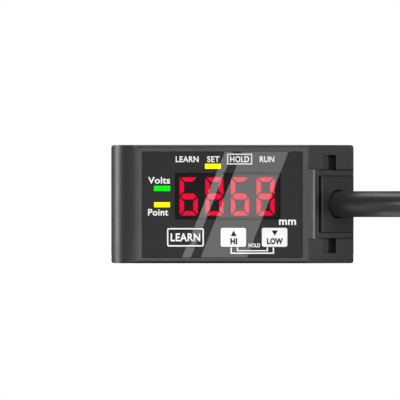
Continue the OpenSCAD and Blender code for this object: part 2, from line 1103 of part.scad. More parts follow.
module image_sensor() {
    y0 = -receiver_focus + sensor_t / 2;
    color("#23282e")
        on_receiver()
            box([-chip_w / 2, y0, -chip_h / 2], [chip_w / 2, y0 + chip_t, chip_h / 2]);
}

// Cable

module cable_clamp() {
    color("#a9abae")
        on_corner()
            translate([hole_u, 0, -cap_t - plug_depth - clamp_len])
                difference() {
                    cylinder(d = clamp_d, h = clamp_len);
                    translate([0, 0, -cut])
                        cylinder(d = cable_hole_d, h = clamp_len + 2 * cut);
                }
}

// The cores run from the clamped end of the cable to the back of the main board
module inner_cores() {
    depth = cap_t + plug_depth + clamp_len + core_lead;
    x_start = corner_x + (hole_u - depth) / sqrt(2);
    y_start = corner_y + (hole_u + depth) / sqrt(2);
    y_pad = y_main_back + core_d / 2 + fit;
    color("#7a5030")
        for (i = [0 : core_count - 1])
            let (place = i - (core_count - 1) / 2)
                rod(
                    [x_start, y_start, z_mid + place * (core_d + fit)],
                    [board_x1 - core_landing, y_pad, z_mid + place * core_spread],
                    core_d
                );
}

function unit(v) = v / norm(v);
function tangent(path, i) = unit(path[min(i + 1, len(path) - 1)] - path[max(i - 1, 0)]);
function side_of(path, i) = unit(cross(tangent(path, i), [0, 0, 1]));
function around(angle, side, up) = cable_d / 2 * (cos(angle) * side + sin(angle) * up);
function ring(path, i) =
    let (side = side_of(path, i), up = cross(side, tangent(path, i)))
    [for (k = [0 : sides - 1]) path[i] + around(360 * k / sides, side, up)];

// Round tube swept along a path
module tube(path) {
    count = len(path);
    points = [for (i = [0 : count - 1]) each ring(path, i)];
    walls = [
        for (i = [0 : count - 2], k = [0 : sides - 1])
            let (next = (k + 1) % sides)
                [i * sides + k, i * sides + next, (i + 1) * sides + next, (i + 1) * sides + k]
    ];
    first = [for (k = [0 : sides - 1]) sides - 1 - k];
    last = [for (k = [0 : sides - 1]) (count - 1) * sides + k];
    polyhedron(points, concat(walls, [first], [last]));
}

module cable() {
    color("#3a3a3a")
        tube(route);
}

// Racetrack outline round the two end loops of the hank
module racetrack(r) {
    translate([0, -r])
        square([hank_run, 2 * r]);
    circle(r);
    translate([hank_run, 0])
        circle(r);
}

module cable_hank() {
    color("#3a3a3a")
        translate([hank_x, hank_y, tie_t]) {
            linear_extrude(hank_h)
                difference() {
                    racetrack(outer_r + cable_d / 2);
                    racetrack(inner_r - cable_d / 2);
                }
            translate([-lead_in, -outer_r - cable_d / 2, 0])
                cube([lead_in, cable_d, cable_d]);
        }
}

// Outline of the tie, over the runs and the tail that lies on them
module tie_outline(grow) {
    half = outer_r + cable_d / 2 + grow;
    apex = tail_z + cable_d / 2 + fit + grow;
    shoulder = inner_r + tie_apex;
    polygon([
        [hank_y - half, tie_t - grow],
        [hank_y + half, tie_t - grow],
        [hank_y + half, hank_top + fit + grow],
        [hank_y + shoulder, apex],
        [hank_y - shoulder, apex],
        [hank_y - half, hank_top + fit + grow]
    ]);
}

module hank_tie() {
    color("#1e1e1e")
        along_x(tie_x - tie_w / 2, tie_x + tie_w / 2)
            difference() {
                tie_outline(tie_t);
                tie_outline(0);
            }
}

// The cable's end lies on the hank, along its far run, round its left loop and along its near run
function tail_path() = concat(
    [for (k = [0 : 3]) [hank_x + tail_back * (4 - k) / 4, hank_y + inner_r, tail_z]],
    [for (a = [90 : tail_step : 270]) [hank_x + inner_r * cos(a), hank_y + inner_r * sin(a), tail_z]],
    [for (k = [1 : 4]) [hank_x + tail_len * k / 4, tail_y, tail_z]]
);

module cable_tail() {
    color("#3a3a3a")
        tube(tail_path());
}

// Axis of one bare core: its start at the jacket's end, its direction and a length along it
function core_point(i, length) =
    let (
        start = [hank_x + tail_len + room, tail_y + core_start[i][0], tail_z + core_start[i][1]],
        end = [
            start[0] + lead_core_len + core_tip_len,
            tail_y + (i - (core_count - 1) / 2) * core_pitch,
            hank_top + lead_core_d / 2 + room
        ]
    )
    start + unit(end - start) * length;

module lead_cores() {
    color("#7a5030")
        for (i = [0 : core_count - 1])
            rod(core_point(i, 0), core_point(i, lead_core_len), lead_core_d);
}

module core_tips() {
    color("#c98f5a")
        for (i = [0 : core_count - 1])
            rod(core_point(i, lead_core_len), core_point(i, lead_core_len + core_tip_len), core_tip_d);
}

case();
front_cover();
front_gasket();
panel();
display_window();
digit_display();
digit_segments();
out_lamp();
power_lamp();
laser_lamp();
lamp_leds();
learn_key();
up_key();
down_key();
learn_plunger();
up_plunger();
down_plunger();
key_switches();
display_board();
main_board();
board_chips();
board_header();
board_spacers();
board_screws();
optical_base();
laser_sleeve();
laser_diode();
collimator_lens();
receiver_lens();
lens_ring();
sensor_board();
image_sensor();
end_cap();
cable_grommet();
cable_clamp();
inner_cores();
cable();
cable_hank();
hank_tie();
cable_tail();
lead_cores();
core_tips();
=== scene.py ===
import bpy
import bmesh
import math
from mathutils import Matrix, Vector


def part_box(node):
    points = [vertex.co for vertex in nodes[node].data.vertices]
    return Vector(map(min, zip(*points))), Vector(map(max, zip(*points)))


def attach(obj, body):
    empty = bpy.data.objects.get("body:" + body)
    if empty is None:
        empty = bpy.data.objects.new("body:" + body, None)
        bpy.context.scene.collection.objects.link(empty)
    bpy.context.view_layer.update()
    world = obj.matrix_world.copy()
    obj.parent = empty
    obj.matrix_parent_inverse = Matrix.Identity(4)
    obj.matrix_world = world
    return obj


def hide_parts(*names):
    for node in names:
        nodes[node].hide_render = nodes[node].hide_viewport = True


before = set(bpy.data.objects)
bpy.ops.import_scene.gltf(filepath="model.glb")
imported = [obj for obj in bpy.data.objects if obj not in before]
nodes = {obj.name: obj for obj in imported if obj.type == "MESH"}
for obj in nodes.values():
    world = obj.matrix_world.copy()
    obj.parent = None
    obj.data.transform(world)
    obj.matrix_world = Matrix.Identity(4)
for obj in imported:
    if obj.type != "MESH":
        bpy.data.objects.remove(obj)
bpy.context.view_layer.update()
scene = bpy.context.scene
mm = 0.001
print("frame loaded:", len(nodes), "nodes")

# camera: square on to the display, far away with a long lens, as the photograph looks

eyePlace = {
    "away": 3.0, "halfField": 0.03377, "x": -0.005495, "z": 0.0107, "faceY": -0.0125,
    "sensor": 36, "near": 0.05, "far": 30,
}


def placeCamera():
    data = bpy.data.cameras.new("studioCamera")
    data.sensor_width = eyePlace["sensor"]
    data.lens = eyePlace["sensor"] / 2 * eyePlace["away"] / eyePlace["halfField"]
    data.clip_start = eyePlace["near"]
    data.clip_end = eyePlace["far"]
    eye = bpy.data.objects.new("studioCamera", data)
    eye.location = (eyePlace["x"], eyePlace["faceY"] - eyePlace["away"], eyePlace["z"])
    eye.rotation_euler = (math.pi / 2, 0, 0)
    scene.collection.objects.link(eye)
    scene.camera = eye


placeCamera()
print("camera placed")

# cable: out of the corner hole, down to the table, then wound into a hank of two columns and five layers

cableSpec = {
    "thick": 4.5,
    "length": 2.0,  # metres, all the rest is in millimetres
    "route": [
        (13.7, -3.1, 10), (15.1, -4.5, 10), (16.9, -6.3, 10), (18.6, -8, 10), (21.3, -10.2, 10),
        (24.3, -11.8, 10), (27.6, -12.8, 10), (31, -13.1, 10), (34.2, -13.1, 9.8), (37.6, -13.1, 9.1),
        (40.8, -13.1, 8.1), (44, -13.1, 6.8), (47, -13.1, 5.5), (50, -13.1, 4.2), (53, -13.1, 3.25),
        (56, -13.1, 2.85), (59, -13.1, 2.85),
    ],
    "exitAt": 3,  # the route's point in the mouth of the corner hole
    "hankX": 72, "hankY": 4.9, "run": 47, "inner": 13.5, "outer": 18, "layers": 5,
    "floorZ": 2.85, "topZ": 25.4, "tailX": 112,
    "shift": 26, "stagger": 7.7,  # length of one change of place, and how far the next one starts before it
    "frontSteps": 4, "farSteps": 18, "backSteps": 24, "nearSteps": 26, "tailSteps": 4,
    "roundness": 5,
}


def smooth(a):
    a = min(max(a, 0), 1)
    return a * a * (3 - 2 * a)


def leadPoints(points):
    # one more point between each two, on the smooth curve through them
    out = []
    for i in range(len(points) - 1):
        p0, p1, p2 = points[max(i - 1, 0)], points[i], points[i + 1]
        p3 = points[min(i + 2, len(points) - 1)]
        out += [p1, (9 * (p1 + p2) - p0 - p3) / 16]
    return out + [points[-1]]


def hankPlaces():
    # radius and height of each turn, wound out and in, layer by layer
    spec = cableSpec
    places = []
    for layer in range(spec["layers"]):
        z = spec["floorZ"] + layer * spec["thick"]
        pair = [(spec["outer"], z), (spec["inner"], z)]
        places += pair if layer % 2 == 0 else pair[::-1]
    return places + [(spec["inner"], spec["topZ"])]


def cablePath():
    spec = cableSpec
    left, right, midY = spec["hankX"], spec["hankX"] + spec["run"], spec["hankY"]
    meanRadius = (spec["inner"] + spec["outer"]) / 2
    places = hankPlaces()
    turns = len(places) - 1

    def shifted(turn, course):
        begin = (turns - 1 - turn) * spec["stagger"]
        a = smooth((course - begin) / spec["shift"])
        (r0, z0), (r1, z1) = places[turn], places[turn + 1]
        return r0 + (r1 - r0) * a, z0 + (z1 - z0) * a

    path = leadPoints([Vector(p) for p in spec["route"]])
    path.append((path[-1] + Vector((left, midY - spec["outer"], spec["floorZ"]))) / 2)
    for turn in range(turns):
        r, z = places[turn]
        for k in range(spec["frontSteps"]):
            path.append(Vector((left + spec["run"] * k / spec["frontSteps"], midY - r, z)))
        for k in range(spec["farSteps"]):
            angle = math.pi * (k / spec["farSteps"] - 0.5)
            path.append(Vector((right + r * math.cos(angle), midY + r * math.sin(angle), z)))
        for k in range(spec["backSteps"]):
            course = spec["run"] * k / spec["backSteps"]
            r, z = shifted(turn, course)
            path.append(Vector((right - course, midY + r, z)))
        for k in range(spec["nearSteps"]):
            turned = math.pi * k / spec["nearSteps"]
            r, z = shifted(turn, spec["run"] + turned * meanRadius)
            path.append(Vector((left - r * math.sin(turned), midY + r * math.cos(turned), z)))
    r, z = places[-1]
    for k in range(spec["tailSteps"] + 1):
        path.append(Vector((left + (spec["tailX"] - left) * k / spec["tailSteps"], midY - r, z)))
    return [p * mm for p in path]


def makeCable():
    spec = cableSpec
    path = cablePath()
    data = bpy.data.curves.new("cableLine", "CURVE")
    data.dimensions = "3D"
    data.bevel_depth = 1  # the points' radius gives the thickness
    data.bevel_resolution = spec["roundness"]
    data.use_fill_caps = True
    line = data.splines.new("POLY")
    line.points.add(len(path) - 1)
    for point, place in zip(line.points, path):
        point.co = (*place, 1)
        point.radius = spec["thick"] / 2 * mm
    line.use_smooth = True
    cable = bpy.data.objects.new("cableLine", data)
    scene.collection.objects.link(cable)
    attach(cable, "body")
    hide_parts("cable", "cable_hank", "cable_tail")
    return cable


cable = makeCable()
print("cable laid")

# helpers for meshes and shader nodes


def newObject(name, shape, finish):
    mesh = bpy.data.meshes.new(name)
    shape.to_mesh(mesh)
    shape.free()
    mesh.materials.append(finish)
    thing = bpy.data.objects.new(name, mesh)
    scene.collection.objects.link(thing)
    return thing


def newMaterial(name):
    finish = bpy.data.materials.new(name)
    finish.use_nodes = True
    tree = finish.node_tree
    return finish, tree, tree.nodes["Principled BSDF"]


def feed(tree, socket, value):
    # another node's output is linked, a plain value is set
    if isinstance(value, bpy.types.NodeSocket):
        tree.links.new(value, socket)
    else:
        socket.default_value = value


def calc(tree, operation, *values, clamp=False):
    node = tree.nodes.new("ShaderNodeMath")
    node.operation = operation
    node.use_clamp = clamp
    for socket, value in zip(node.inputs, values):
        feed(tree, socket, value)
    return node.outputs[0]


def ramp(tree, value, first, last, low=0.0, high=1.0):
    # goes from low to high while the value goes from first to last
    node = tree.nodes.new("ShaderNodeMapRange")
    for label, number in (("From Min", first), ("From Max", last), ("To Min", low), ("To Max", high)):
        node.inputs[label].default_value = number
    tree.links.new(value, node.inputs["Value"])
    return node.outputs["Result"]


def mixed(tree, factor, a, b):
    node = tree.nodes.new("ShaderNodeMix")
    node.data_type = "RGBA"
    tree.links.new(factor, node.inputs["Factor"])
    feed(tree, node.inputs["A"], a)
    feed(tree, node.inputs["B"], b)
    return node.outputs["Result"]


def scaled(tree, tone, factor):
    node = tree.nodes.new("ShaderNodeVectorMath")
    node.operation = "SCALE"
    tree.links.new(tone, node.inputs[0])
    tree.links.new(factor, node.inputs["Scale"])
    return node.outputs[0]


def objectPlace(tree):
    return tree.nodes.new("ShaderNodeTexCoord").outputs["Object"]


def splitPlace(tree):
    split = tree.nodes.new("ShaderNodeSeparateXYZ")
    tree.links.new(objectPlace(tree), split.inputs[0])
    return split.outputs


def awayFrom(tree, point):
    # distance from a point of the part
    node = tree.nodes.new("ShaderNodeVectorMath")
    node.operation = "DISTANCE"
    node.inputs[1].default_value = Vector(point) * mm
    tree.links.new(objectPlace(tree), node.inputs[0])
    return node.outputs["Value"]


# floor, world and lights, in metres

studio = {
    "floorLow": (-0.42, -0.25), "floorHigh": (0.52, 0.5),  # short in front, so the panel mirrors none of it
    "floorTone": 0.5, "floorRough": 0.9, "floorGloss": 0.1,
    "floorGlow": (0.62, 1.0), "glowReach": (0.12, 0.24),  # in the middle and at the border
    "worldFill": 0.04,
    # name: place, aim, width, height, radiance
    "lights": {
        "keyBox": ((0.89, -0.81, 0.5), (0, 0, 0.01), 1.3, 1.1, 2.35),
        "frontBox": ((-0.05, -1.6, 0.24), (0, 0, 0.01), 0.9, 0.34, 6.5),
        "topBox": ((0.02, -0.02, 1.1), (0.02, 0, 0), 0.9, 0.5, 4.4),
        "leftStrip": ((-0.974, 0.225, 0.1), (0, 0, 0.01), 0.2, 0.6, 21.0),
        "backTop": ((-0.53, 0.38, 0.89), (0.02, -0.01, 0.01), 0.9, 0.7, 2.0),
        "nearBox": ((-0.125, -0.4, 0.014), (0.026, -0.013, 0.01), 0.06, 0.12, 3.4),
        "sideStrip": ((-0.89, -0.99, 0.12), (0, 0, 0.01), 0.3, 0.3, 1.8),
        "underStrip": ((0.031, -0.013, 0.0004), (0.031, -0.013, 0.01), 0.018, 0.008, 1.3),
        "footStrip": ((-0.004, -0.0236, 0.00005), (-0.004, -0.0236, 0.01), 0.036, 0.022, 0.5),
    },
}


def addAreaLight(name, place, aim, wide, high, radiance):
    data = bpy.data.lights.new(name, "AREA")
    data.shape = "RECTANGLE"
    data.size = wide
    data.size_y = high
    data.energy = radiance * math.pi * wide * high
    lamp = bpy.data.objects.new(name, data)
    lamp.location = place
    lamp.rotation_euler = (Vector(aim) - Vector(place)).to_track_quat("-Z", "Y").to_euler()
    lamp.visible_camera = False
    scene.collection.objects.link(lamp)


def fillWorld():
    # white for the eye, a faint fill for the object
    world = bpy.data.worlds.new("studioWorld")
    scene.world = world
    world.use_nodes = True
    tree = world.node_tree
    back = tree.nodes["Background"]
    back.inputs["Color"].default_value = (1, 1, 1, 1)
    seen = tree.nodes.new("ShaderNodeLightPath").outputs["Is Camera Ray"]
    level = ramp(tree, seen, 0, 1, studio["worldFill"], 1)
    tree.links.new(level, back.inputs["Strength"])


def floorPaper():
    paper, tree, face = newMaterial("floorPaper")
    tone = studio["floorTone"]
    face.inputs["Base Color"].default_value = (tone, tone, tone, 1)
    face.inputs["Roughness"].default_value = studio["floorRough"]
    face.inputs["Specular IOR Level"].default_value = studio["floorGloss"]
    face.inputs["Emission Color"].default_value = (1, 1, 1, 1)
    # the floor turns white towards its border, like the backdrop
    rise = ramp(tree, awayFrom(tree, (0, 0, 0)), *studio["glowReach"], *studio["floorGlow"])
    # the glow is for the eye alone, it lights nothing
    seen = tree.nodes.new("ShaderNodeLightPath").outputs["Is Camera Ray"]
    tree.links.new(calc(tree, "MULTIPLY", rise, seen), face.inputs["Emission Strength"])
    return paper


def layFloor():
    (x0, y0), (x1, y1) = studio["floorLow"], studio["floorHigh"]
    shape = bmesh.new()
    bmesh.ops.create_grid(shape, x_segments=4, y_segments=4, size=0.5)  # one metre square
    bmesh.ops.scale(shape, vec=(x1 - x0, y1 - y0, 1), verts=shape.verts)
    bmesh.ops.translate(shape, vec=((x0 + x1) / 2, (y0 + y1) / 2, 0), verts=shape.verts)
    newObject("studioFloor", shape, floorPaper())


def setStudio():
    scene.view_settings.view_transform = "Standard"
    fillWorld()
    for name, settings in studio["lights"].items():
        addAreaLight(name, *settings)
    layFloor()


setStudio()
print("studio lit")

# glare: two slanted light cards in front of the glossy display side, which mirrors them

glare = {
    "cardAway": 0.15,  # metres
    "low": 1.0, "high": 19.0,  # height range of the panel
    # left and right edge of each band at the foot and at the top of the panel, and its radiance
    "bands": [(-8.53, -7.05, -1.21, 0.13, 3.3), (-5.36, 2.41, 1.67, 9.51, 2.8)],
}


def cardGlow(name, radiance):
    glow = bpy.data.materials.new(name)
    glow.use_nodes = True
    tree = glow.node_tree
    tree.nodes.clear()
    out = tree.nodes.new("ShaderNodeOutputMaterial")
    light = tree.nodes.new("ShaderNodeEmission")
    light.inputs["Strength"].default_value = radiance
    tree.links.new(light.outputs["Emission"], out.inputs["Surface"])
    return glow


def hangGlareCards():
    eye = Vector((eyePlace["x"], eyePlace["z"]))
    grow = 1 + glare["cardAway"] / eyePlace["away"]
    for i, (l0, r0, l1, r1, radiance) in enumerate(glare["bands"]):
        name = "glareCard%d" % i
        corners = [(l0, glare["low"]), (r0, glare["low"]), (r1, glare["high"]), (l1, glare["high"])]
        shape = bmesh.new()
        ring = []
        for x, z in corners:
            spot = eye + (Vector((x, z)) * mm - eye) * grow
            ring.append(shape.verts.new((spot.x, eyePlace["faceY"] - glare["cardAway"], spot.y)))
        shape.faces.new(ring)
        card = newObject(name, shape, cardGlow(name, radiance))
        card.visible_camera = False
        card.visible_shadow = False


hangGlareCards()
print("glare cards hung")

# shared effects: fine grain, drifting tone and drifting gloss, as node groups


def newGroup(name, ins, outs):
    group = bpy.data.node_groups.new(name, "ShaderNodeTree")
    for label, kind, value in ins:
        socket = group.interface.new_socket(label, in_out="INPUT", socket_type=kind)
        socket.default_value = value
    for label, kind in outs:
        group.interface.new_socket(label, in_out="OUTPUT", socket_type=kind)
    return group, group.nodes.new("NodeGroupInput"), group.nodes.new("NodeGroupOutput")


def objectNoise(tree, scale, detail, rough=0.5):
    noise = tree.nodes.new("ShaderNodeTexNoise")
    noise.inputs["Detail"].default_value = detail
    noise.inputs["Roughness"].default_value = rough
    tree.links.new(objectPlace(tree), noise.inputs["Vector"])
    tree.links.new(scale, noise.inputs["Scale"])
    return noise.outputs["Fac"]


def driftRound(group, start, base, detail, clamp=False):
    # noise round a base value, as wide as the group's Spread says
    fac = objectNoise(group, start.outputs["Scale"], detail)
    centred = calc(group, "SUBTRACT", fac, 0.5)
    return calc(group, "MULTIPLY_ADD", centred, start.outputs["Spread"], base, clamp=clamp)


def buildGrain():
    group, start, end = newGroup(
        "fineGrain", [("Scale", "NodeSocketFloat", 4000)], [("Height", "NodeSocketFloat")])
    fac = objectNoise(group, start.outputs["Scale"], detail=3, rough=0.6)
    group.links.new(fac, end.inputs["Height"])
    return group


def buildToneDrift():
    group, start, end = newGroup(
        "toneDrift",
        [("Tone", "NodeSocketColor", (0.5, 0.5, 0.5, 1)), ("Scale", "NodeSocketFloat", 300),
         ("Spread", "NodeSocketFloat", 0.08)],
        [("Tone", "NodeSocketColor")],
    )
    factor = driftRound(group, start, 1, detail=4)
    group.links.new(scaled(group, start.outputs["Tone"], factor), end.inputs["Tone"])
    return group


def buildGlossDrift():
    group, start, end = newGroup(
        "glossDrift",
        [("Rough", "NodeSocketFloat", 0.4), ("Scale", "NodeSocketFloat", 500),
         ("Spread", "NodeSocketFloat", 0.1)],
        [("Rough", "NodeSocketFloat")],
    )
    rough = driftRound(group, start, start.outputs["Rough"], detail=2, clamp=True)
    group.links.new(rough, end.inputs["Rough"])
    return group


grainGroup = buildGrain()
toneGroup = buildToneDrift()
glossGroup = buildGlossDrift()
glossFiner = 1.7  # gloss drifts at a finer scale than tone


def useGroup(tree, group, **values):
    node = tree.nodes.new("ShaderNodeGroup")
    node.node_tree = group
    for label, value in values.items():
        node.inputs[label].default_value = value
    return node


def newFinish(
    name, tone, rough, toneScale=300, toneSpread=0.1, roughSpread=0.12, grain=None, plain=None,
):
    finish, tree, face = newMaterial(name)
    drift = useGroup(tree, toneGroup, Tone=(*tone, 1), Scale=toneScale, Spread=toneSpread)
    tree.links.new(drift.outputs["Tone"], face.inputs["Base Color"])
    gloss = useGroup(tree, glossGroup, Rough=rough, Scale=toneScale * glossFiner, Spread=roughSpread)
    tree.links.new(gloss.outputs["Rough"], face.inputs["Roughness"])
    if grain:
        scale, depth, strength = grain
        bumps = useGroup(tree, grainGroup, Scale=scale)
        bump = tree.nodes.new("ShaderNodeBump")
        bump.inputs["Distance"].default_value = depth * mm
        bump.inputs["Strength"].default_value = strength
        tree.links.new(bumps.outputs["Height"], bump.inputs["Height"])
        tree.links.new(bump.outputs["Normal"], face.inputs["Normal"])
    for label, value in (plain or {}).items():
        face.inputs[label].default_value = value
    return finish


# finishes: tone, roughness, drift of tone, grain (scale, depth in mm, strength) and plain shader values


def filmCoat(rough):
    return {"Coat Weight": 1.0, "Coat Roughness": rough, "Specular IOR Level": 0.1}


bareMetal = {"Metallic": 1.0}
dullInk = {"Specular IOR Level": 0.2}
paintedFaceGlow = {"Emission Color": (1, 1, 1, 1), "Emission Strength": 0.042}  # painted light: the face behind the smoked window glows faintly white, standing in for the light that would reach it through the window

finishes = {
    "castPaint": dict(tone=(0.0195, 0.0195, 0.0198), rough=0.38, grain=(5200, 0.012, 0.35)),
    "overlayFilm": dict(tone=(0.0262, 0.0262, 0.0262), rough=0.5, toneSpread=0.06, plain=filmCoat(0.005)),
    "darkKeyFilm": dict(tone=(0.021, 0.021, 0.021), rough=0.5, toneSpread=0.06, plain=filmCoat(0.012)),
    "whiteKeyFilm": dict(tone=(0.93, 0.93, 0.93), rough=0.5, toneSpread=0.03, plain=filmCoat(0.012)),
    "printInk": dict(tone=(0.93, 0.93, 0.93), rough=0.55, toneSpread=0.04, plain=dullInk),
    "keyInk": dict(tone=(0.012, 0.012, 0.012), rough=0.5, plain=dullInk),
    "displayBlack": dict(tone=(0.012, 0.012, 0.012), rough=0.6, toneSpread=0.05, plain=paintedFaceGlow),
    "capPlastic": dict(
        tone=(0.0375, 0.0363, 0.0323), rough=0.5, grain=(3600, 0.02, 0.35), toneSpread=0.12),
    "grommetPlastic": dict(
        tone=(0.022, 0.0215, 0.0195), rough=0.5, grain=(4200, 0.015, 0.3), toneSpread=0.12),
    "cableJacket": dict(tone=(0.028, 0.028, 0.028), rough=0.33, grain=(2600, 0.012, 0.25), toneSpread=0.12),
    "tieNylon": dict(tone=(0.015, 0.015, 0.015), rough=0.5, grain=(2200, 0.03, 0.5), toneSpread=0.2),
    "sealRubber": dict(tone=(0.015, 0.015, 0.015), rough=0.75, grain=(3000, 0.02, 0.4), toneSpread=0.2),
    "ledChip": dict(tone=(0.8, 0.75, 0.5), rough=0.4),
    "switchMetal": dict(tone=(0.5, 0.5, 0.52), rough=0.35, toneSpread=0.15, plain=bareMetal),
    "plungerBlack": dict(tone=(0.012, 0.012, 0.012), rough=0.45, toneSpread=0.15),
    "circuitBoard": dict(tone=(0.012, 0.1, 0.045), rough=0.35, toneSpread=0.25, plain={"Coat Weight": 0.5}),
    "chipBlack": dict(tone=(0.012, 0.012, 0.012), rough=0.6, toneSpread=0.2),
    "headerPlastic": dict(tone=(0.65, 0.62, 0.52), rough=0.5, toneSpread=0.08),
    "brass": dict(tone=(0.72, 0.5, 0.18), rough=0.3, toneSpread=0.12, plain=bareMetal),
    "steel": dict(tone=(0.56, 0.57, 0.58), rough=0.28, plain=bareMetal),
    "opticsMetal": dict(tone=(0.12, 0.12, 0.125), rough=0.5, grain=(4000, 0.02, 0.4), plain=bareMetal),
    "ringBlack": dict(tone=(0.02, 0.02, 0.021), rough=0.5),
    "clampMetal": dict(tone=(0.45, 0.46, 0.47), rough=0.35, toneSpread=0.12, plain=bareMetal),
    "copper": dict(
        tone=(0.75, 0.32, 0.15), rough=0.3, toneSpread=0.3, grain=(6000, 0.03, 0.5), plain=bareMetal),
}
made = {name: newFinish(name, **values) for name, values in finishes.items()}
print("finishes mixed:", len(made))

# display side: places that the finishes and the print share, in millimetres

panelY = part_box("panel")[0].y / mm


def keyMiddle(node):
    low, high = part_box(node)
    middle = (low + high) / 2 / mm
    return middle.x, middle.z


keyMiddles = {key: keyMiddle(key + "_key") for key in ("learn", "up", "down")}
dome = {"wide": 2.7, "high": 0.15, "edge": 0.3, "passes": 4}  # edge: longest edge of ink on a dome

# marks that belong to one place: rubbed key dome, painted highlights on two edges, painted shade in the cap's
# bay corners and round the cable hole, painted light on the window ledge


def faceOf(name):
    tree = made[name].node_tree
    return tree, tree.nodes["Principled BSDF"]


def allOf(tree, masks):
    whole = masks[0]
    for mask in masks[1:]:
        whole = calc(tree, "MULTIPLY", whole, mask)
    return whole


def stretchMask(tree, value, edges):
    # along a value: where the mask begins to rise, is one, begins to fall and is zero again
    begin, full, leave, end = (edge * mm for edge in edges)
    return allOf(tree, [ramp(tree, value, begin, full), ramp(tree, value, leave, end, 1, 0)])


def boxMask(tree, place, spans):
    return allOf(tree, [stretchMask(tree, place[axis], spans[axis]) for axis in "XYZ"])


def paintOver(name, mask, tone):
    tree, face = faceOf(name)
    under = face.inputs["Base Color"].links[0].from_socket
    tree.links.new(mixed(tree, mask, under, (*tone, 1)), face.inputs["Base Color"])


domeShade = {"inner": 1.28, "outer": 1.37, "gloss": 0.1}


def dullDome():
    # the dome of the dark key is rubbed dull, so that it stays darker than the film round it
    tree, face = faceOf("darkKeyFilm")
    x, z = keyMiddles["learn"]
    away = awayFrom(tree, (x, panelY, z))
    gloss = ramp(tree, away, domeShade["inner"] * mm, domeShade["outer"] * mm, domeShade["gloss"])
    tree.links.new(gloss, face.inputs["Coat Weight"])


# painted highlights: light bands painted on the lip's right edge and on the left rim of the panel recess,
# where the lamps would glint
paintedEdgeHighlights = {
    "lip": {
        "X": (13.5, 13.82, 13.86, 13.97), "Y": (-12.7, -12.6, -11.3, -11.2), "Z": (4.1, 4.2, 15.8, 15.9),
        "tone": (0.2, 0.2, 0.203),
    },
    "panelRim": {
        "X": (-15.68, -15.62, -15.3, -15.2), "Y": (-12.7, -12.6, -12.3, -12.2), "Z": (0.9, 1.0, 19.0, 19.1),
        "tone": (0.05, 0.05, 0.05),
    },
}


def paintEdgeHighlights():
    tree = faceOf("castPaint")[0]
    place = splitPlace(tree)
    for spec in paintedEdgeHighlights.values():
        paintOver("castPaint", boxMask(tree, place, spec), spec["tone"])


# painted shade: dark lines along the bay's two long corners, where shadow falls at the step
bayCornerShade = {
    "X": (14.2, 14.5, 20.35, 20.45), "midZ": 10, "side": (5.68, 5.76, 5.88, 5.96),
    "tone": (0.004, 0.004, 0.0035),
}


def paintBayCornerShade():
    # painted shade in the two long corners of the bay, above and below the middle of the cap
    tree = faceOf("capPlastic")[0]
    place = splitPlace(tree)
    side = calc(tree, "ABSOLUTE", calc(tree, "SUBTRACT", place["Z"], bayCornerShade["midZ"] * mm))
    masks = [stretchMask(tree, place["X"], bayCornerShade["X"]), stretchMask(tree, side, bayCornerShade["side"])]
    paintOver("capPlastic", allOf(tree, masks), bayCornerShade["tone"])


# painted shadow: cap and grommet darkened round a point left of the cable hole, where the cable's shadow
# falls
holeShadow = {"middle": (14.9, -10.3, 10), "full": 0.9, "gone": 3.0, "most": 0.8}


# painted shadow, shared by the cap and the grommet
def buildHoleShadow():
    group, start, end = newGroup(
        "holeShadow", [("Tone", "NodeSocketColor", (0.5, 0.5, 0.5, 1))], [("Tone", "NodeSocketColor")])
    away = awayFrom(group, holeShadow["middle"])
    keep = ramp(group, away, holeShadow["full"] * mm, holeShadow["gone"] * mm, 1 - holeShadow["most"])
    group.links.new(scaled(group, start.outputs["Tone"], keep), end.inputs["Tone"])
    return group


def paintHoleShadow():
    group = buildHoleShadow()
    for name in ("capPlastic", "grommetPlastic"):
        tree, face = faceOf(name)
        shadow = useGroup(tree, group)
        tree.links.new(face.inputs["Base Color"].links[0].from_socket, shadow.inputs["Tone"])
        tree.links.new(shadow.outputs["Tone"], face.inputs["Base Color"])


# painted light on the ledge round the display window
# how far the glow reaches past the window on each axis, and the share of that at full strength
ledgePaintedLight = {"strength": 0.021, "before": 0.02, "past": {"X": 0.02, "Y": 0.3, "Z": 0.02}, "full": 0.25}


def paintLedgeLight():
    # painted light: the ledge behind the rim of the display window glows as faintly as the read-out's face,
    # standing in for the light that would reach both through the window
    tree, face = faceOf("castPaint")
    low, high = (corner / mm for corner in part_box("display_window"))
    spans = {}
    for axis, first, last in zip("XYZ", low, high):
        past = ledgePaintedLight["past"][axis]
        spans[axis] = (first - ledgePaintedLight["before"], first, last + past * ledgePaintedLight["full"], last + past)
    tree.links.new(boxMask(tree, splitPlace(tree), spans), face.inputs["Emission Color"])
    face.inputs["Emission Strength"].default_value = ledgePaintedLight["strength"]


# these paint highlights on the lip and the panel rim, shade in the bay corners and round the cable hole, and
# light on the window ledge
dullDome()
paintEdgeHighlights()
paintBayCornerShade()
paintHoleShadow()
paintLedgeLight()
print("wear, creases and grime added")

# glass: smoked display window, laser window and lenses

clearCoatRough = 0.01
glassSpec = {
    "smokedWindow": {"tone": (0.3, 0.28, 0.28), "rough": 0.01, "ior": 1.08, "coat": 1.0},
    "laserWindow": {"tone": (0.16, 0.05, 0.055), "rough": 0.02, "ior": 1.49, "coat": 0.0},
    "lensGlass": {"tone": (0.9, 0.95, 0.97), "rough": 0.01, "ior": 1.52, "coat": 0.0},
}


def newGlass(name, tone, rough, ior, coat):
    plain = {"Transmission Weight": 1.0, "IOR": ior, "Coat Weight": coat, "Coat Roughness": clearCoatRough}
    return newFinish(name, tone, rough, toneScale=120, toneSpread=0.04, roughSpread=0.01, plain=plain)


for name, spec in glassSpec.items():
    made[name] = newGlass(name, **spec)

# status lamps: a glowing bar under clear lacquer

